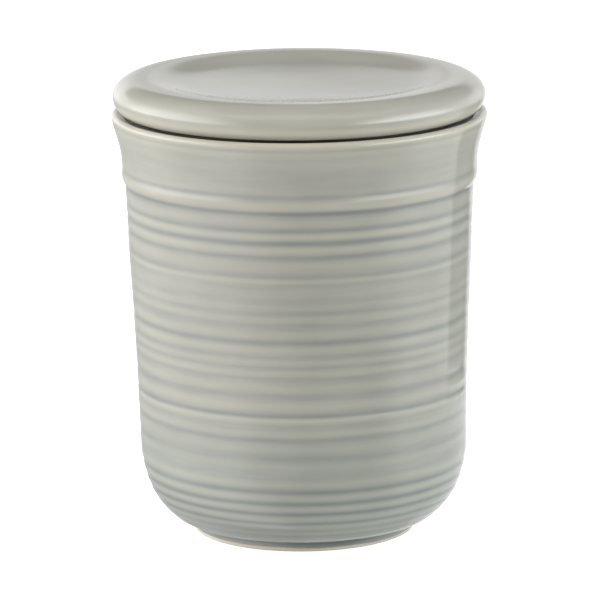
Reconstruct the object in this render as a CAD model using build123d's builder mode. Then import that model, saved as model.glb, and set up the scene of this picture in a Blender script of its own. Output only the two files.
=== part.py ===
from build123d import *
import os
from itertools import cycle, pairwise
from math import cos, radians, sin, tan

# A lidded stoneware kitchen canister: a thrown jar with finger ribs, a dished lid with a thick
# rounded edge, and the silicone ring on the lid's spigot that seals the jar's throat.
# Millimetres, +Z up, origin at the centre of the foot ring on the table.

# Jar: rim and collar
rim_diameter = 130.0
rim_height = 147.6
lip_radius = 1.6
rim_flare = 3.8  # how far the rim stands out from the collar
flare_angle = 17.0  # of the flare's cone, from upright
flare_radius = 34.0  # of the curve from the collar into the cone
collar_depth = 22.0  # from the rim's crest down to the collar's lower edge
collar_step = 1.2  # how far the ribbed wall is set in under the collar
collar_edge_radius = 6.0

# Jar: ribbed wall, belly and foot
wall_taper = 3.6  # radius lost between the collar and the belly
belly_height = 33.4
wall_thickness = 5.2
floor_thickness = 5.8
inner_corner_radius = 22.0
foot_diameter = 76.6
foot_height = 3.5
foot_width = 6.8
foot_edge_radius = 1.0
foot_recess = 2.2

# Finger grooves down the wall, in order from the collar: the spacing of a hand-thrown pot is uneven
groove_spacing = (
    2.8, 6.0, 4.4, 5.0, 6.7, 3.2, 5.2, 4.1, 4.3, 6.1, 5.3, 3.3, 3.9,
    6.4, 6.9, 3.5, 4.8, 6.7, 5.8, 5.9, 4.6, 4.1, 4.1, 3.8, 2.9,
)
groove_slope = 0.03  # depth of a groove for each millimetre to its nearest neighbour
plain_foot_band = 9.0  # smooth stretch of the belly above the foot

# Seat inside the rim, which carries the seal's flange
seat_drop = 1.6  # from the rim's crest down to the seat
seat_bevel = 35.0  # slope from the seat up to the lip
throat_edge_radius = 1.5

# Lid
lid_inset = 0.7  # how far the lid's edge stays inside the rim's
lower_corner_radius = 3.0  # of the edge where it leaves the underside
side_radius = 6.2  # of the edge from that corner up to its widest place
side_turn = 40.0
shoulder_radius = 5.4  # of the edge above its widest place
shoulder_turn = 50.0
crown_radius = 10.0  # from the shoulder up to the crest
crest_radius = 45.0  # from the crest in to the dish
wall_slope = 13.0  # of the dish where it is steepest
dish_corner_radius = 60.0  # from there to the dish's floor
floor_slope = 5.0  # of the floor at its outer end
lid_plate = 5.6  # thickness of the lid under the middle of the dish
spigot_wall = 5.0
spigot_lip = 1.2  # bead under the neck, which keeps the seal on
spigot_lip_height = 3.5
spigot_edge_radius = 1.2
spigot_hollow_radius = 5.0

# Seal
flange_thickness = 2.0
sleeve_thickness = 1.6
sleeve_height = 8.9
seal_space = 3.8  # between the spigot's neck and the throat
seal_lip_count = 2
seal_lip_pitch = 2.6
seal_lip_root = 1.4
seal_lip_tip = 0.7
seal_lip_rise = 0.8  # how far a lip's tip stands above its root
seal_lip_clearance = 0.2
seal_fit_clearance = 0.1
flange_clearance = 3.0  # between the flange and the slope up to the lip

# Radii and heights that follow
rim_radius = rim_diameter / 2
foot_radius = foot_diameter / 2
collar_radius = rim_radius - rim_flare
wall_radius = collar_radius - collar_step
belly_radius = wall_radius - wall_taper
throat_radius = wall_radius - wall_thickness
collar_bottom = rim_height - collar_depth
floor_height = foot_recess + floor_thickness
seat_height = rim_height - seat_drop
lip_centre = Vector(rim_radius - lip_radius, rim_height - lip_radius)


def on_circle(centre, radius, angle):
    """Point of a circle at an angle in degrees, counted from the outward direction."""
    return centre + Vector(cos(radians(angle)), sin(radians(angle))) * radius


lip_outer = on_circle(lip_centre, lip_radius, -flare_angle)
lip_inner = on_circle(lip_centre, lip_radius, 90 + seat_bevel)
flare_start = lip_outer.Y - (lip_outer.X - collar_radius) / tan(radians(flare_angle))
seat_outer_radius = lip_inner.X - (lip_inner.Y - seat_height) / tan(radians(seat_bevel))
inner_taper = wall_taper / (collar_bottom - belly_height)
inner_foot_radius = throat_radius - inner_taper * (collar_bottom - floor_height)

# Line that the ribs' crests lie on, from under the collar down the belly to the foot
with BuildLine() as crest_line:
    Line((wall_radius, collar_bottom), (belly_radius, belly_height))
    EllipticalCenterArc(
        (foot_radius, belly_height),
        belly_radius - foot_radius,
        belly_height - foot_height,
        start_angle=0,
        arc_size=-90,
    )
crests = crest_line.wire()


def groove_places():
    """Distance down the crest line and depth of every groove, ending at the foot."""
    edges = [0.0]
    for spacing in cycle(groove_spacing):
        if edges[-1] + spacing > crests.length - plain_foot_band:
            break
        edges.append(edges[-1] + spacing)
    edges.append(crests.length)
    places = []
    for above, groove, below in zip(edges, edges[1:], edges[2:]):
        places.append((groove, min(groove - above, below - groove) * groove_slope))
    return places + [(crests.length, 0.0)]


def wall_point(distance, depth):
    """Point sunk into the wall by a depth, at a distance down the crest line."""
    place = crests.position_at(distance, position_mode=PositionMode.LENGTH)
    along = crests.tangent_at(distance, position_mode=PositionMode.LENGTH)
    return place + Vector(along.Y, -along.X) * depth


grooves = groove_places()

# Jar
with BuildPart() as canister:
    with BuildSketch(Plane.XZ) as canister_profile:
        with BuildLine():
            FilletPolyline(
                (0, foot_recess),
                (foot_radius - foot_width, foot_recess),
                (foot_radius - foot_width, 0),
                (foot_radius, 0),
                (foot_radius, foot_height),
                radius=[0, 0, foot_edge_radius],
            )
            for groove, next_groove in pairwise(grooves):
                crest = (groove[0] + next_groove[0]) / 2
                ThreePointArc(wall_point(*groove), wall_point(crest, 0.0), wall_point(*next_groove))
            FilletPolyline(
                wall_point(*grooves[0]),
                (collar_radius, collar_bottom),
                (collar_radius, flare_start),
                lip_outer,
                radius=[collar_edge_radius, flare_radius],
            )
            CenterArc(lip_centre, lip_radius, -flare_angle, flare_angle + 90 + seat_bevel)
            FilletPolyline(
                lip_inner,
                (seat_outer_radius, seat_height),
                (throat_radius, seat_height),
                (throat_radius, collar_bottom),
                (inner_foot_radius, floor_height),
                (0, floor_height),
                radius=[0, throat_edge_radius, flare_radius, inner_corner_radius],
            )
            Line((0, floor_height), (0, foot_recess))
        make_face()
    revolve(axis=Axis.Z)
canister.part.label = "canister"

# Lid, resting on the seal's flange
underside = seat_height + flange_thickness
lid_radius = rim_radius - lid_inset
widest_height = underside + lower_corner_radius + (side_radius - lower_corner_radius) * sin(radians(side_turn))
side_centre = Vector(lid_radius - side_radius, widest_height)
corner_centre = on_circle(side_centre, side_radius - lower_corner_radius, -side_turn)
shoulder_centre = Vector(lid_radius - shoulder_radius, widest_height)
crown_centre = on_circle(shoulder_centre, shoulder_radius - crown_radius, shoulder_turn)
crest_centre = crown_centre + Vector(0, crown_radius - crest_radius)
dish_corner_centre = on_circle(crest_centre, crest_radius + dish_corner_radius, 90 + wall_slope)
floor_end = on_circle(dish_corner_centre, dish_corner_radius, floor_slope - 90)
floor_radius = floor_end.X / sin(radians(floor_slope))
floor_centre = Vector(0, floor_end.Y + floor_end.X / tan(radians(floor_slope)))
dish_bottom = floor_centre.Y - floor_radius
ceiling = dish_bottom - lid_plate
neck_radius = throat_radius - seal_space
spigot_radius = neck_radius + spigot_lip
spigot_bore = neck_radius - spigot_wall
neck_bottom = underside - sleeve_height - seal_fit_clearance
spigot_bottom = neck_bottom - spigot_lip_height

with BuildPart() as lid:
    with BuildSketch(Plane.XZ) as lid_profile:
        with BuildLine():
            CenterArc(floor_centre, floor_radius, -90, floor_slope)
            CenterArc(dish_corner_centre, dish_corner_radius, floor_slope - 90, wall_slope - floor_slope)
            CenterArc(crest_centre, crest_radius, 90, wall_slope)
            CenterArc(crown_centre, crown_radius, shoulder_turn, 90 - shoulder_turn)
            CenterArc(shoulder_centre, shoulder_radius, 0, shoulder_turn)
            CenterArc(side_centre, side_radius, -side_turn, side_turn)
            CenterArc(corner_centre, lower_corner_radius, -90, 90 - side_turn)
            FilletPolyline(
                (corner_centre.X, underside),
                (neck_radius, underside),
                (neck_radius, neck_bottom),
                (spigot_radius, neck_bottom),
                (spigot_radius, spigot_bottom),
                (spigot_bore, spigot_bottom),
                (spigot_bore, ceiling),
                (0, ceiling),
                radius=[0, 0, 0, spigot_edge_radius, spigot_edge_radius, spigot_hollow_radius],
            )
            Line((0, ceiling), (0, dish_bottom))
        make_face()
    revolve(axis=Axis.Z)
lid.part.label = "lid"

# Silicone seal: a flange over the seat, a sleeve on the neck and lips that meet the throat
sleeve_inner = neck_radius + seal_fit_clearance
sleeve_outer = sleeve_inner + sleeve_thickness
lip_reach = throat_radius - seal_lip_clearance


def seal_lip(height):
    """Corners of one lip, from its upper root to its lower root."""
    return [
        (sleeve_outer, height + seal_lip_root / 2),
        (lip_reach, height + seal_lip_rise + seal_lip_tip / 2),
        (lip_reach, height + seal_lip_rise - seal_lip_tip / 2),
        (sleeve_outer, height - seal_lip_root / 2),
    ]


first_lip = seat_height - throat_edge_radius - seal_lip_rise - seal_lip_tip
lip_corners = []
for number in range(seal_lip_count):
    lip_corners += seal_lip(first_lip - number * seal_lip_pitch)

with BuildPart() as lid_seal:
    with BuildSketch(Plane.XZ) as seal_profile:
        with BuildLine():
            Polyline(
                (sleeve_inner, underside),
                (seat_outer_radius - flange_clearance, underside),
                (seat_outer_radius - flange_clearance, seat_height),
                (sleeve_outer, seat_height),
                *lip_corners,
                (sleeve_outer, underside - sleeve_height),
                (sleeve_inner, underside - sleeve_height),
                close=True,
            )
        make_face()
    revolve(axis=Axis.Z)
lid_seal.part.label = "lid_seal"

os.makedirs("parts", exist_ok=True)
for piece in (canister, lid, lid_seal):
    export_step(piece.part, f"parts/{piece.part.label}.step")
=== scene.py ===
from itertools import pairwise
from math import cos, pi, radians, sin, tan

import bmesh
import bpy
import numpy as np
from mathutils import Matrix, Vector


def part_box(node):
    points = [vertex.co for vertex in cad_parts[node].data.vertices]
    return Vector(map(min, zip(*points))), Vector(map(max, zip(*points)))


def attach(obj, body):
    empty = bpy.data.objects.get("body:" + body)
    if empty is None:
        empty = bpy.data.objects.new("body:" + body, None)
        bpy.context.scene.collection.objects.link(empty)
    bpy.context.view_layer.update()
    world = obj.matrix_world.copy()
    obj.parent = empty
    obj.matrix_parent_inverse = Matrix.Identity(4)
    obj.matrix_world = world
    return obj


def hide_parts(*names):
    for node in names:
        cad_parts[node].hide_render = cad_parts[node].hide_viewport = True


# The looks of a lidded stoneware canister: a ribbed jar, its dished lid and the lid's silicone seal.
# Metres, +Z up, origin at the centre of the foot ring. The camera stands on the -Y side.
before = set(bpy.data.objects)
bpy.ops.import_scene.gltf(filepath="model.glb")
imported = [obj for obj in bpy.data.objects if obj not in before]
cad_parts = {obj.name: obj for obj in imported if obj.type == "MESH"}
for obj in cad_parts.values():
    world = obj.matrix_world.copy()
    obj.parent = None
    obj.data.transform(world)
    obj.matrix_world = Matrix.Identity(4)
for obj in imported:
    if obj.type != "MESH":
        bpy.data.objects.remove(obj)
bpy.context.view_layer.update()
mm = 0.001

# Sizes that the frame gives
jar_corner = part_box("canister")[1]
lid_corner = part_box("lid")[1]
seal_low, seal_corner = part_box("lid_seal")
rim_radius = jar_corner.x
rim_height = jar_corner.z
lid_radius = lid_corner.x
spigot_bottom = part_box("lid")[0].z

# Jar: rim and collar
lip_radius = 1.6 * mm
rim_flare = 3.8 * mm  # how far the rim stands out from the collar
flare_angle = radians(17.0)  # of the flare's cone, from upright
flare_bend = 5.0 * mm  # length of the bend from the collar into the flare, each way
collar_depth = 22.0 * mm  # from the rim's crest down to the top of the ribbed wall
collar_step = 1.2 * mm  # how far the ribbed wall is set in under the collar
edge_drop = 0.6 * mm  # how far the collar's lower edge hangs below the top of the wall
collar_edge = 1.3 * mm  # how far up the collar its soft lower edge reaches
seat_drop = 1.6 * mm  # from the rim's crest down to the seat inside it
seat_bevel = radians(35.0)  # slope from the seat up to the lip

# Faint hollows round the collar: height, reach up and down, depth
hollows = (
    (145.1 * mm, 1.7 * mm, 0.12 * mm),
    (128.4 * mm, 2.4 * mm, 0.08 * mm),
)

# Jar: ribbed wall, belly and foot
wall_taper = 3.6 * mm  # radius lost between the collar and the belly
belly_height = 33.4 * mm
wall_thickness = 5.2 * mm
floor_thickness = 5.8 * mm
inner_corner_radius = 22.0 * mm
foot_radius = 38.3 * mm
foot_height = 3.5 * mm
foot_width = 6.8 * mm
foot_recess = 2.2 * mm

# Finger grooves, in order from the collar down: their spacing in millimetres and their depths
groove_spacing = (
    2.8, 6.0, 4.4, 5.0, 6.7, 3.2, 5.2, 4.1, 4.3, 6.1, 5.3, 3.3, 3.9,
    6.4, 6.9, 3.5, 4.8, 6.7, 5.8, 5.9, 4.6, 4.1, 4.1, 3.8, 2.9,
)
groove_slope = 0.03  # usual depth of a groove for each unit to its nearest neighbour
groove_share = (  # of the usual depth
    0.6, 1.0, 1.1, 1.05, 0.9, 0.4, 0.35, 0.4, 0.55, 1.0, 0.65, 0.45, 0.65,
    0.75, 1.5, 0.3, 0.8, 0.55, 0.5, 1.4, 1.5, 1.6, 1.6, 0.6, 1.0,
)
plain_foot_band = 9.0 * mm  # smooth stretch of the belly above the foot

# How far the thrown wall strays from true, by height: extra radius and shift to the right
stray_heights = np.array((0, 8, 14, 28, 40, 60, 80, 100, 122, 128, 140, 146)) * mm
extra_radius = np.array((0, 0, 0.55, 0.6, 0.35, 0.15, 0.2, 0.45, 0.45, 0.3, 0.1, 0)) * mm
shift_right = np.array((0.4, 0.5, 0.55, 0.55, 0.35, 0.2, 0.1, -0.1, -0.1, 0, 0, 0)) * mm

# Lid
lower_corner_radius = 1.7 * mm  # of the edge where it leaves the underside
side_radius = 6.2 * mm  # of the edge from that corner up to its widest place
side_turn = radians(48.3)
shoulder_radius = 5.4 * mm  # of the edge above its widest place
shoulder_turn = radians(50.0)
crown_radius = 10.0 * mm  # from the shoulder up to the crest
crest_radius = 45.0 * mm  # from the crest in to the dish
wall_slope = radians(13.0)  # of the dish where it is steepest
dish_corner_radius = 60.0 * mm  # from there to the dish's floor
floor_slope = radians(5.0)  # of the floor at its outer end
lid_plate = 5.6 * mm  # thickness of the lid under the middle of the dish
spigot_wall = 5.0 * mm
spigot_lip = 1.2 * mm  # bead under the neck, which keeps the seal on
spigot_lip_height = 3.5 * mm
seal_space = 3.8 * mm  # between the spigot's neck and the throat

# Seal
flange_thickness = 2.0 * mm
sleeve_thickness = 1.6 * mm
seal_fit_clearance = 0.1 * mm
seal_lip_heights = (140.4 * mm, 143.0 * mm)
seal_lip_root = 1.4 * mm
seal_lip_tip = 0.7 * mm
seal_lip_rise = 0.8 * mm  # how far a lip's tip stands above its root
seal_lip_clearance = 0.2 * mm

# Fineness of the outlines and meshes
around = 288  # faces round a piece
arc_points = 60
bend_points = 40
belly_points = 400
fine_step = 0.1 * mm
turn_step = radians(3.0)  # an outline's turn from one point to the next
length_step = 2.5 * mm  # and its length where it is straight
weld_distance = 0.001 * mm

# Softness of the surfaces
glaze_softness = 0.42 * mm  # how far the glaze rounds a sharp edge
silicone_softness = 0.15 * mm
sharpest_bend = 1 / (8 * mm)  # a sharper one makes no more difference to the glaze

# Hand-made unevenness: swells round a piece, as waves, start, height for a radian of turn, share
swells = (
    (2, 0.7, 31 * mm, 1.0),
    (3, 2.1, -17 * mm, 0.6),
)
swell_depth = 0.10 * mm
swell_start = 20 * mm  # radius from which the swells are full

# Heights and radii that follow
collar_radius = rim_radius - rim_flare
wall_radius = collar_radius - collar_step
belly_radius = wall_radius - wall_taper
throat_radius = wall_radius - wall_thickness
collar_bottom = rim_height - collar_depth
floor_height = foot_recess + floor_thickness
seat_height = rim_height - seat_drop
underside = seat_height + flange_thickness
neck_radius = throat_radius - seal_space


# Lines that the outlines are made of


def on_circle(centre, radius, angle):
    """Point of a circle at an angle in radians, counted from the outward direction."""
    return centre[0] + radius * cos(angle), centre[1] + radius * sin(angle)


def arc(centre, radius, start, end):
    """Points of an arc between two angles."""
    return [on_circle(centre, radius, angle) for angle in np.linspace(start, end, arc_points)]


def bend(start, middle, end):
    """Points of a smooth bend from one line into the next."""
    start, middle, end = (np.array(p) for p in (start, middle, end))
    share = np.linspace(0, 1, bend_points)[:, None]
    return (1 - share) ** 2 * start + 2 * share * (1 - share) * middle + share**2 * end


def resampled(points, step):
    """The same line with points at even steps."""
    points = np.asarray(points, float)
    place = np.append(0, np.cumsum(np.linalg.norm(np.diff(points, axis=0), axis=1)))
    even = np.linspace(0, place[-1], int(place[-1] / step) + 2)
    return np.stack([np.interp(even, place, points[:, k]) for k in (0, 1)], 1)


def blurred(values, width):
    """Rows of values smoothed along a line whose points lie a fine step apart; the ends stay."""
    reach = int(4 * width / fine_step)
    weights = np.exp(-0.5 * (np.arange(-reach, reach + 1) * fine_step / width) ** 2)
    weights /= weights.sum()
    start = 2 * values[0] - values[reach:0:-1]
    end = 2 * values[-1] - values[-2 : -reach - 2 : -1]
    padded = np.concatenate([start, values, end])
    return np.stack([np.convolve(padded[:, k], weights, "valid") for k in range(values.shape[1])], 1)


# Outline of the jar


def crest_line():
    """Points and outward directions of the line that the ribs' crests lie on, at even steps down the wall."""
    turn = np.linspace(0, pi / 2, belly_points)
    r = foot_radius + (belly_radius - foot_radius) * np.cos(turn)
    z = belly_height - (belly_height - foot_height) * np.sin(turn)
    line = np.vstack([[wall_radius, collar_bottom], np.stack([r, z], 1)])
    line = resampled(line, fine_step)
    along = np.gradient(line, axis=0)
    along /= np.linalg.norm(along, axis=1)[:, None]
    return line, np.stack([-along[:, 1], along[:, 0]], 1)


def ribbed_wall():
    """Outline of the ribbed wall, from its first groove down to the foot."""
    line, outward = crest_line()
    place = np.arange(len(line)) * fine_step
    grooves = np.cumsum(groove_spacing) * mm
    grooves = grooves[grooves < place[-1] - plain_foot_band]
    edges = np.concatenate([[0], grooves, [place[-1]]])
    depths = [0.0]
    for above, groove, below, share in zip(edges, edges[1:], edges[2:], groove_share):
        depths.append(min(groove - above, below - groove) * groove_slope * share)
    depths.append(0.0)
    depth = np.interp(place, edges, depths)
    for above, below in pairwise(edges[1:]):
        across = (place - above) / (below - above)
        inside = (across > 0) & (across < 1)
        depth[inside] *= (1 + np.cos(2 * pi * across[inside])) / 2
    return (line - outward * depth[:, None])[place >= edges[1]]


def collar_outline(wall_top, outer_lip):
    """Outline of the collar, from its soft lower edge over the wall up the flare to the lip."""
    edge = np.array((collar_radius, collar_bottom - edge_drop))
    slope = (wall_top - edge) / np.linalg.norm(wall_top - edge)
    flare_start = outer_lip[0][1] - (outer_lip[0][0] - collar_radius) / tan(flare_angle)
    flare_end = (collar_radius + flare_bend * sin(flare_angle), flare_start + flare_bend * cos(flare_angle))
    collar = [
        *bend(edge + slope * collar_edge, edge, (collar_radius, edge[1] + collar_edge)),
        *bend((collar_radius, flare_start - flare_bend), (collar_radius, flare_start), flare_end),
        *outer_lip,
    ]
    collar = resampled(collar, fine_step)
    for height, reach, depth in hollows:
        off = np.clip((collar[:, 1] - height) / reach, -1, 1)
        collar[:, 0] -= depth * (1 + np.cos(pi * off)) / 2
    return collar


def jar_outline():
    """Sharp outline of the jar, from the axis underneath, up the outside and down the inside to the axis."""
    lip_centre = (rim_radius - lip_radius, rim_height - lip_radius)
    lip = arc(lip_centre, lip_radius, -flare_angle, pi / 2 + seat_bevel)
    lip_middle = arc_points // 2
    wall = ribbed_wall()[::-1]
    collar = collar_outline(wall[-1], lip[:lip_middle])
    for line in (wall, collar):
        line[:, 0] += np.interp(line[:, 1], stray_heights, extra_radius)
    seat_radius = lip[-1][0] - (lip[-1][1] - seat_height) / tan(seat_bevel)
    inner_taper = wall_taper / (collar_bottom - belly_height)
    inner_foot_radius = throat_radius - inner_taper * (collar_bottom - floor_height)
    corner = (inner_foot_radius - inner_corner_radius, floor_height + inner_corner_radius)
    return [
        (0, foot_recess),
        (foot_radius - foot_width, foot_recess),
        (foot_radius - foot_width, 0),
        (foot_radius, 0),
        (foot_radius, foot_height),
        *wall,
        *collar,
        *lip[lip_middle:],
        (seat_radius, seat_height),
        (throat_radius, seat_height),
        (throat_radius, collar_bottom),
        *arc(corner, inner_corner_radius, 0, -pi / 2),
        (0, floor_height),
    ]


# Outlines of the lid and the seal


def lid_outline():
    """Sharp outline of the lid, from the axis underneath, round its edge and over the dish to the axis."""
    widest = underside + lower_corner_radius + (side_radius - lower_corner_radius) * sin(side_turn)
    side = (lid_radius - side_radius, widest)
    corner = on_circle(side, side_radius - lower_corner_radius, -side_turn)
    shoulder = (lid_radius - shoulder_radius, widest)
    crown = on_circle(shoulder, shoulder_radius - crown_radius, shoulder_turn)
    crest = (crown[0], crown[1] + crown_radius - crest_radius)
    dish = on_circle(crest, crest_radius + dish_corner_radius, pi / 2 + wall_slope)
    floor_end = on_circle(dish, dish_corner_radius, floor_slope - pi / 2)
    floor_radius = floor_end[0] / sin(floor_slope)
    floor = (0, floor_end[1] + floor_end[0] / tan(floor_slope))
    ceiling = floor[1] - floor_radius - lid_plate
    bore = neck_radius - spigot_wall
    neck_bottom = spigot_bottom + spigot_lip_height
    return [
        (0, ceiling),
        (bore, ceiling),
        (bore, spigot_bottom),
        (neck_radius + spigot_lip, spigot_bottom),
        (neck_radius + spigot_lip, neck_bottom),
        (neck_radius, neck_bottom),
        (neck_radius, underside),
        *arc(corner, lower_corner_radius, -pi / 2, -side_turn),
        *arc(side, side_radius, -side_turn, 0),
        *arc(shoulder, shoulder_radius, 0, shoulder_turn),
        *arc(crown, crown_radius, shoulder_turn, pi / 2),
        *arc(crest, crest_radius, pi / 2, pi / 2 + wall_slope),
        *arc(dish, dish_corner_radius, wall_slope - pi / 2, floor_slope - pi / 2),
        *arc(floor, floor_radius, floor_slope - pi / 2, -pi / 2),
    ]


def seal_outline():
    """Sharp closed outline of the seal's section: sleeve, lips and flange."""
    inner = neck_radius + seal_fit_clearance
    outer = inner + sleeve_thickness
    tip = throat_radius - seal_lip_clearance
    lips = []
    for height in seal_lip_heights:
        lips += [
            (outer, height - seal_lip_root / 2),
            (tip, height + seal_lip_rise - seal_lip_tip / 2),
            (tip, height + seal_lip_rise + seal_lip_tip / 2),
            (outer, height + seal_lip_root / 2),
        ]
    return [
        (inner, seal_low.z),
        (outer, seal_low.z),
        *lips,
        (outer, seat_height),
        (seal_corner.x, seat_height),
        (seal_corner.x, underside),
        (inner, underside),
        (inner, seal_low.z),
    ]


# Meshes from the outlines


def finished(outline, softness, closed=False):
    """The outline with its edges rounded, at uneven steps that follow its turns, and its bend at each point.

    The bend is one over its radius in metres, above zero where the outline bulges.
    """
    line = resampled(outline, fine_step)
    if closed:
        third = len(line) // 3
        wrapped = np.concatenate([line[-third - 1 : -1], line, line[1 : third + 1]])
        line = blurred(wrapped, softness)[third : third + len(line)]
    else:
        line = blurred(line, softness)
    along = np.gradient(line, axis=0)
    heading = np.unwrap(np.arctan2(along[:, 1], along[:, 0]))
    turning = np.abs(np.gradient(heading))
    progress = np.append(0, np.cumsum(turning[1:] / turn_step + fine_step / length_step))
    picked = np.linspace(0, progress[-1], int(progress[-1]) + 2)
    curve = np.clip(np.gradient(heading) / fine_step, -sharpest_bend, sharpest_bend)
    curve = blurred(curve[:, None], softness)[:, 0]
    points = np.stack([np.interp(picked, progress, line[:, k]) for k in (0, 1)], 1)
    return points, np.interp(picked, progress, curve)


def new_object(name, data):
    """A new object in the scene."""
    made = bpy.data.objects.new(name, data)
    bpy.context.scene.collection.objects.link(made)
    return made


def new_mesh_object(name, points, faces):
    """A new mesh object in the scene."""
    mesh = bpy.data.meshes.new(name)
    mesh.from_pydata(points, [], faces)
    return new_object(name, mesh)


def welded(mesh):
    """Joins the points that lie on one spot, such as those on the axis."""
    form = bmesh.new()
    form.from_mesh(mesh)
    bmesh.ops.remove_doubles(form, verts=form.verts, dist=weld_distance)
    form.to_mesh(mesh)
    form.free()


def revolved(name, outline, curve, shift=0.0):
    """A piece turned from its outline, slightly uneven as a hand-made one, with the bend as an attribute.

    The shift is how far each point of the outline stands to the right.
    """
    angles = np.arange(around) * 2 * pi / around
    r, z = outline[:, 0][:, None], outline[:, 1][:, None]
    sway = sum(share * np.sin(waves * angles + start + z / twist) for waves, start, twist, share in swells)
    largest = sum(share for *_, share in swells)
    sway = swell_depth * (sway / largest - 1) / 2 * np.clip(r / swell_start, 0, 1)
    x, y = (r + sway) * np.cos(angles) + shift, (r + sway) * np.sin(angles)
    points = np.stack([x, y, np.broadcast_to(z, x.shape)], 2).reshape(-1, 3)
    faces = []
    for i in range(len(outline) - 1):
        for j in range(around):
            k = (j + 1) % around
            faces.append((i * around + j, i * around + k, (i + 1) * around + k, (i + 1) * around + j))
    piece = new_mesh_object(name, points.tolist(), faces)
    bends = piece.data.attributes.new("bend", "FLOAT", "POINT")
    bends.data.foreach_set("value", np.repeat(curve, around).astype(np.float32))
    welded(piece.data)
    piece.data.shade_smooth()
    return piece


# Shader nodes


def new_material(name):
    """A new material, its node tree and its Principled shader."""
    material = bpy.data.materials.new(name)
    material.use_nodes = True
    tree = material.node_tree
    return material, tree, next(n for n in tree.nodes if n.type == "BSDF_PRINCIPLED")


def add(tree, kind, inputs=None, **settings):
    """A new node; an input is a value or another node's output."""
    made = tree.nodes.new("ShaderNode" + kind)
    for key, value in settings.items():
        setattr(made, key, value)
    for key, value in (inputs or {}).items():
        if isinstance(value, bpy.types.NodeSocket):
            tree.links.new(value, made.inputs[key])
        else:
            made.inputs[key].default_value = value
    return made


def worked_out(tree, operation, *values):
    """The result of a Math node."""
    return add(tree, "Math", dict(enumerate(values)), operation=operation).outputs["Value"]


def ramp(tree, factor, stops):
    """A colour ramp with (place, colour) stops."""
    made = add(tree, "ValToRGB", {"Fac": factor})
    elements = made.color_ramp.elements
    while len(elements) < len(stops):
        elements.new(0.5)
    for element, (place, colour) in zip(elements, stops):
        element.position = place
        element.color = (*colour, 1)
    return made.outputs["Color"]


def ranged(tree, value, low, high, start=0.0, end=1.0, shape="LINEAR"):
    """The value mapped from low to high onto start to end."""
    limits = {"From Min": low, "From Max": high, "To Min": start, "To Max": end}
    return add(tree, "MapRange", {"Value": value, **limits}, interpolation_type=shape).outputs["Result"]


def soft(tree, value, low, high):
    """A smooth step from 0 to 1."""
    return ranged(tree, value, low, high, shape="SMOOTHSTEP")


def mixed(tree, share, first, second, blend="MIX"):
    """Two colours mixed."""
    made = add(tree, "Mix", {"Factor": share}, data_type="RGBA", blend_type=blend)
    for key, value in ((6, first), (7, second)):
        if isinstance(value, bpy.types.NodeSocket):
            tree.links.new(value, made.inputs[key])
        else:
            made.inputs[key].default_value = (*value, 1)
    return made.outputs[2]


def noise(tree, place, scale, detail=3.0):
    """Noise in steps for each metre."""
    return add(tree, "TexNoise", {"Vector": place, "Scale": scale, "Detail": detail}).outputs["Fac"]


noise_span = (0.3, 0.7)  # where most of a noise's values lie

# Glaze: its colours where it is thin, middling and thick
thin_glaze = (0.458, 0.442, 0.372)
middle_glaze = (0.347, 0.351, 0.315)
thick_glaze = (0.180, 0.204, 0.202)
glaze_ior = 1.5
glaze_roughness = (0.07, 0.13)

# Glaze: flat streaks round a piece, clouds, ripples and grain; scales are in steps for each metre
streak_scale = 45
streak_stretch = (1, 1, 9)
streak_strength = 0.30  # in thickness
cloud_scale = 28
cloud_levels = (0.94, 1.04)
ripple_scale = 130
ripple_depth = 0.04 * mm
glaze_grain_scale = 1900
glaze_grain_depth = 0.012 * mm
glaze_bump = 0.5

# Glaze: cooler and darker low on the jar
low_tint = (0.76, 0.82, 0.84)
low_start = 52 * mm
low_full = 10 * mm

# Glaze made lighter from a height on: height where that starts, height where it is full, amount. On the
# collar and over the lid it is thinner glaze that has run off; at the lid's lower edge it is painted light
jar_thinning = (
    (126 * mm, 131 * mm, 0.16),  # on the collar
)
lid_thinning_and_painted_light = (
    (126 * mm, 131 * mm, 0.06),  # all over the lid
    (152.4 * mm, 149.8 * mm, 0.65),  # and more at its lower edge: painted light, for light bounced up from the rim below
)

# Bends in the outline, as one over a radius in metres, at which the glaze is thinnest or thickest
jar_full_bend = 170
lid_full_bend = 500

# Bare clay under the foot and under the lid's spigot
bare_clay = (0.72, 0.63, 0.55)
darker_clay = tuple(0.86 * c for c in bare_clay)
clay_grain_span = (0.35, 0.65)
clay_roughness = 0.85
jar_bare_height = 1.2 * mm
lid_bare_height = spigot_bottom + 0.4 * mm
bare_waver = 1.2 * mm  # of the glaze's edge
bare_edge = (0.9 * mm, 0.4 * mm)  # above the bare height, where the glaze gets thin and where it ends


def glaze_colour(tree, height, streaks, clouds, full_bend, thinnings_and_painted_light):
    """Colour of the glaze by its thickness, with streaks and clouds, and lighter from given heights on, which
    at the lid's lower edge is painted light.
    """
    bent = add(tree, "Attribute", attribute_name="bend").outputs["Fac"]
    thickness_and_painted_light = ranged(tree, bent, full_bend, -full_bend)
    # Steps that lighten the glaze from a height on: thinner glaze, and painted light at the lid's lower edge
    for start, full, amount in thinnings_and_painted_light:
        run_off_and_painted_light = ranged(tree, height, start, full, 0.0, -amount)
        thickness_and_painted_light = worked_out(tree, "ADD", thickness_and_painted_light, run_off_and_painted_light)
    uneven = worked_out(tree, "MULTIPLY_ADD", streaks, streak_strength, thickness_and_painted_light)
    uneven = worked_out(tree, "SUBTRACT", uneven, streak_strength / 2)
    colour = ramp(tree, uneven, [(0.0, thin_glaze), (0.5, middle_glaze), (1.0, thick_glaze)])
    low = ranged(tree, height, low_start, low_full)
    colour = mixed(tree, low, colour, low_tint, "MULTIPLY")
    cloudy = ranged(tree, clouds, *noise_span, *cloud_levels)
    cloudy = add(tree, "CombineColor", {0: cloudy, 1: cloudy, 2: cloudy}).outputs["Color"]
    return mixed(tree, 1.0, colour, cloudy, "MULTIPLY")


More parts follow.
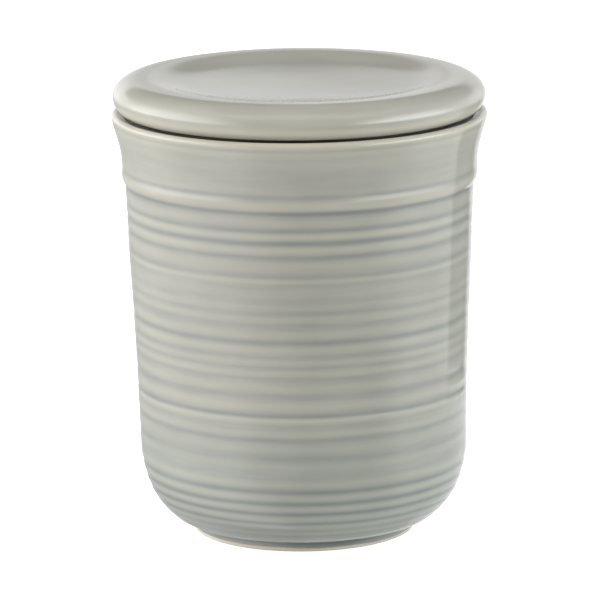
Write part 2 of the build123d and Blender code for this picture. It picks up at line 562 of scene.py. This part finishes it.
def glaze(name, bare_height, full_bend, thinnings_and_painted_light):
    """Glossy sage-grey glaze over clay that is bare below a height.

    It is thin and warm on edges, and thick and cool in grooves; at the lid's lower edge it carries painted
    light.
    """
    material, tree, shader = new_material(name)
    place = add(tree, "TexCoord").outputs["Object"]
    height = add(tree, "SeparateXYZ", {"Vector": place}).outputs["Z"]
    stretched = add(tree, "Mapping", {"Vector": place, "Scale": streak_stretch}).outputs["Vector"]
    streaks = noise(tree, stretched, streak_scale)
    clouds = noise(tree, place, cloud_scale)
    grain = noise(tree, place, glaze_grain_scale, detail=2)

    colour = glaze_colour(tree, height, streaks, clouds, full_bend, thinnings_and_painted_light)
    edge = worked_out(tree, "MULTIPLY_ADD", streaks, bare_waver, height)
    bare = ranged(tree, edge, *(bare_height + above for above in bare_edge))
    clay = mixed(tree, ranged(tree, grain, *clay_grain_span), bare_clay, darker_clay)
    tree.links.new(mixed(tree, bare, colour, clay), shader.inputs["Base Color"])
    gloss = ranged(tree, clouds, *noise_span, *glaze_roughness)
    rough = add(tree, "Mix", {0: bare, 2: gloss, 3: clay_roughness})
    tree.links.new(rough.outputs[0], shader.inputs["Roughness"])
    shader.inputs["IOR"].default_value = glaze_ior

    ripple = noise(tree, place, ripple_scale, detail=2)
    waves = add(tree, "Bump", {"Height": ripple, "Distance": ripple_depth, "Strength": glaze_bump})
    peel = add(tree, "Bump", {"Height": grain, "Distance": glaze_grain_depth, "Strength": glaze_bump})
    tree.links.new(waves.outputs["Normal"], peel.inputs["Normal"])
    tree.links.new(peel.outputs["Normal"], shader.inputs["Normal"])
    return material


# Silicone, with a fine moulded grain and a little dust; scales are in steps for each metre
silicone_colour = (0.045, 0.046, 0.044)
dust_colour = (0.075, 0.075, 0.072)
dust_scale = 320
dust_span = (0.55, 0.75)
dust_share = 0.35
silicone_roughness = (0.42, 0.58)
silicone_grain_scale = 2600
silicone_grain_depth = 0.02 * mm
silicone_bump = 0.6


def silicone(name):
    """Matt charcoal silicone."""
    material, tree, shader = new_material(name)
    place = add(tree, "TexCoord").outputs["Object"]
    grain = noise(tree, place, silicone_grain_scale, detail=2)
    dust = noise(tree, place, dust_scale, detail=4)
    dusty = ranged(tree, dust, *dust_span, 0.0, dust_share)
    tree.links.new(mixed(tree, dusty, silicone_colour, dust_colour), shader.inputs["Base Color"])
    rough = ranged(tree, dust, *noise_span, *silicone_roughness)
    tree.links.new(rough, shader.inputs["Roughness"])
    bump = add(tree, "Bump", {"Height": grain, "Distance": silicone_grain_depth, "Strength": silicone_bump})
    tree.links.new(bump.outputs["Normal"], shader.inputs["Normal"])
    return material


# Pieces, each in place of its solid
outline, curve = finished(jar_outline(), glaze_softness)
shift = np.interp(outline[:, 1], stray_heights, shift_right)[:, None]
jar = revolved("glazed_jar", outline, curve, shift)
lid = revolved("glazed_lid", *finished(lid_outline(), glaze_softness))
seal = revolved("seal_ring", *finished(seal_outline(), silicone_softness, closed=True))
jar.data.materials.append(glaze("jar_glaze", jar_bare_height, jar_full_bend, jar_thinning))
lid.data.materials.append(glaze("lid_glaze", lid_bare_height, lid_full_bend, lid_thinning_and_painted_light))
seal.data.materials.append(silicone("seal_silicone"))
for piece, node, body, slot in (
    (jar, "canister", "canister", "jar_glaze"),
    (lid, "lid", "lid", "lid_glaze"),
    (seal, "lid_seal", "lid", "seal_silicone"),
):
    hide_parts(node)
    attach(piece, body)

# Camera
camera_distance = 1.9013
camera_elevation = radians(12.40)
camera_roll = radians(0.554)
focal_length = 328.17  # in millimetres, as the sensor's width is
sensor_width = 36
farthest_seen = 50
aim_height = 75.0 * mm
frame_lift = 5.208 * mm  # how far the middle of the picture lies above the aim, and to its right
frame_side = -0.351 * mm

back = Vector((0, -cos(camera_elevation), sin(camera_elevation)))
up = Vector((0, sin(camera_elevation), cos(camera_elevation)))
camera_place = Vector((0, 0, aim_height)) + back * camera_distance
target = Vector((frame_side, 0, aim_height)) + up * frame_lift
aim = (target - camera_place).to_track_quat("-Z", "Y").to_matrix()
turn = aim @ Matrix.Rotation(-camera_roll, 3, "Z")
camera = new_object("camera", bpy.data.cameras.new("camera"))
camera.data.lens = focal_length
camera.data.sensor_width = sensor_width
camera.data.clip_end = farthest_seen
camera.matrix_world = Matrix.Translation(camera_place) @ turn.to_4x4()
bpy.context.scene.camera = camera

# Studio: one large lamp overhead
lamp_place = Vector((0, -0.55, 1.25))
lamp_target = Vector((0, 0, 0.1))
lamp_data = bpy.data.lights.new("overhead", "AREA")
lamp_data.shape = "RECTANGLE"
lamp_data.size = 1.5
lamp_data.size_y = 0.9
lamp_data.energy = 3.6
lamp_data.color = (1, 0.94, 0.85)
lamp = new_object("overhead", lamp_data)
lamp_turn = (lamp_target - lamp_place).to_track_quat("-Z", "Y").to_matrix()
lamp.matrix_world = Matrix.Translation(lamp_place) @ lamp_turn.to_4x4()

# Surroundings that the glaze mirrors, in three rings: azimuth from the camera's side, level and warmth
table_ring = (
    (-180, 0.65, 0), (-153, 0.60, 0), (-133, 0.74, 0), (-113, 1.25, 0), (-83, 1.98, 0), (-50, 2.15, 0),
    (2, 0.13, 1), (48, 0.15, 1), (76, 1.20, 0), (120, 1.20, 0), (122, 0.32, 0.4), (152, 0.32, 0.4),
    (160, 1.00, 0),
)
horizon_ring = (
    (-180, 0.72, 0), (-155, 1.60, 0), (-130, 1.55, 0), (-105, 1.30, 0), (-60, 1.00, 0), (-20, 0.32, 1),
    (20, 0.28, 1), (60, 0.80, 0), (105, 1.40, 0), (140, 1.40, 0), (160, 0.90, 0),
)
upper_ring = (
    (-180, 0.16, 0), (-150, 0.25, 0), (-125, 1.10, 0), (-95, 1.70, 0), (-55, 1.40, 0), (-20, 0.25, 1),
    (20, 0.22, 1), (55, 1.00, 0), (95, 1.20, 0), (125, 0.75, 0), (150, 0.25, 0),
)
warm_loss = (0, 0.08, 0.2)  # of red, green and blue where the light is warm
near_table_level = 0.88  # of the table close to the jar, at least
top_level = 0.12
full_level = 4  # that a ramp's brightest colour stands for

# Where one ring gives way to the next, as the upward share of a direction
near_table_edge = (-0.45, -0.75)
horizon_edge = (-0.18, -0.06)
upper_edge = (0.25, 0.36)
top_edge = (0.80, 0.95)

# Lean of the edges of the table's light, on the right
ring_slant = 0.8  # radians of azimuth for each unit of height
slant_height = -0.21  # height at which they keep their place, as the upward share of a direction

# Bright glows at the sides: azimuth, elevation and reach in degrees, level and tint
side_glows = (
    (-84, -8, 54, 5.6, (1, 1, 1)),
    (72, -12, 46, 6.8, (0.93, 0.98, 1)),
)
glow_core = 8  # degrees from its middle within which a glow is full


def lit(level, tint=(1, 1, 1)):
    """Colour of the surroundings for a level of light."""
    return tuple(level / full_level * c for c in tint)


def ring_light(tree, angle, ring):
    """Light of one ring, by azimuth."""
    stops = []
    for degrees, level, warmth in ring:
        tint = [1 - loss * warmth for loss in warm_loss]
        stops.append(((degrees + 180) / 360, lit(level, tint)))
    return ramp(tree, ranged(tree, angle, -pi, pi), stops)


def glow_share(tree, direction, degrees, elevation, reach):
    """How much a direction shows of a glow."""
    level_share = cos(radians(elevation))
    middle = (
        sin(radians(degrees)) * level_share,
        -cos(radians(degrees)) * level_share,
        sin(radians(elevation)),
    )
    near = add(tree, "VectorMath", {0: direction, 1: middle}, operation="DOT_PRODUCT").outputs["Value"]
    return soft(tree, near, cos(radians(reach)), cos(radians(glow_core)))


def studio_world():
    """Surroundings by direction, bright at the sides and back and dim in front; the camera sees white."""
    world = bpy.data.worlds.new("studio")
    bpy.context.scene.world = world
    world.use_nodes = True
    tree = world.node_tree
    background = next(n for n in tree.nodes if n.type == "BACKGROUND")
    direction = add(tree, "TexCoord").outputs["Generated"]
    way = add(tree, "SeparateXYZ", {"Vector": direction}).outputs
    ahead = worked_out(tree, "MULTIPLY", way["Y"], -1.0)
    azimuth = worked_out(tree, "ARCTAN2", way["X"], ahead)
    rise = worked_out(tree, "SUBTRACT", way["Z"], slant_height)
    right = ranged(tree, way["X"], 0, 1, 0, ring_slant)
    slanted = worked_out(tree, "MULTIPLY_ADD", rise, right, azimuth)

    table = ring_light(tree, slanted, table_ring)
    horizon = ring_light(tree, azimuth, horizon_ring)
    upper = ring_light(tree, azimuth, upper_ring)
    table = mixed(tree, soft(tree, way["Z"], *near_table_edge), table, lit(near_table_level), "LIGHTEN")
    colour = mixed(tree, soft(tree, way["Z"], *upper_edge), horizon, upper)
    colour = mixed(tree, soft(tree, way["Z"], *top_edge), colour, lit(top_level))
    for degrees, elevation, reach, level, tint in side_glows:
        share = glow_share(tree, direction, degrees, elevation, reach)
        colour = mixed(tree, share, colour, lit(level, tint))
    colour = mixed(tree, soft(tree, way["Z"], *horizon_edge), table, colour)
    seen = add(tree, "LightPath").outputs["Is Camera Ray"]
    colour = mixed(tree, seen, colour, lit(1))
    tree.links.new(colour, background.inputs["Color"])
    background.inputs["Strength"].default_value = full_level


studio_world()

# Floor
floor_reach = 6.0
floor_colour = (0.68, 0.68, 0.67, 1)
floor_roughness = 0.9
floor_glow = (0.05, 0.82)  # for other rays, and for the camera's
white = (1, 1, 1, 1)
black = (0, 0, 0, 1)


def pale_floor():
    """Pale floor that keeps the jar's shadow."""
    corners = [(x * floor_reach, y * floor_reach, 0) for x, y in ((-1, -1), (1, -1), (1, 1), (-1, 1))]
    floor = new_mesh_object("floor", corners, [(0, 1, 2, 3)])
    material, tree, shader = new_material("floor")
    shader.inputs["Base Color"].default_value = floor_colour
    shader.inputs["Roughness"].default_value = floor_roughness
    seen = add(tree, "LightPath").outputs["Is Camera Ray"]
    shader.inputs["Emission Color"].default_value = white
    tree.links.new(ranged(tree, seen, 0, 1, *floor_glow), shader.inputs["Emission Strength"])
    floor.data.materials.append(material)
    floor.visible_glossy = False


pale_floor()

# Glowing sheet on the floor, at the right and behind, seen only in reflections, where it stands in for the
# lit table
sheet_inner = 0.03
sheet_outer = 0.235
sheet_azimuths = (60, 170)  # degrees from the camera's side
sheet_points = 25
sheet_height = 0.5 * mm
sheet_level = 0.95


def glowing_sheet():
    """Curved glowing sheet that only mirrors show."""
    points = []
    for turned in np.radians(np.linspace(*sheet_azimuths, sheet_points)):
        for radius in (sheet_inner, sheet_outer):
            points.append((radius * sin(turned), -radius * cos(turned), sheet_height))
    faces = [(n, n + 1, n + 3, n + 2) for n in range(0, len(points) - 2, 2)]
    sheet = new_mesh_object("sheet", points, faces)
    material, _, shader = new_material("sheet")
    shader.inputs["Base Color"].default_value = black
    shader.inputs["Emission Color"].default_value = white
    shader.inputs["Emission Strength"].default_value = sheet_level
    sheet.data.materials.append(material)
    sheet.visible_camera = False
    sheet.visible_diffuse = False
    sheet.visible_shadow = False


glowing_sheet()

bpy.context.scene.view_settings.view_transform = "Standard"
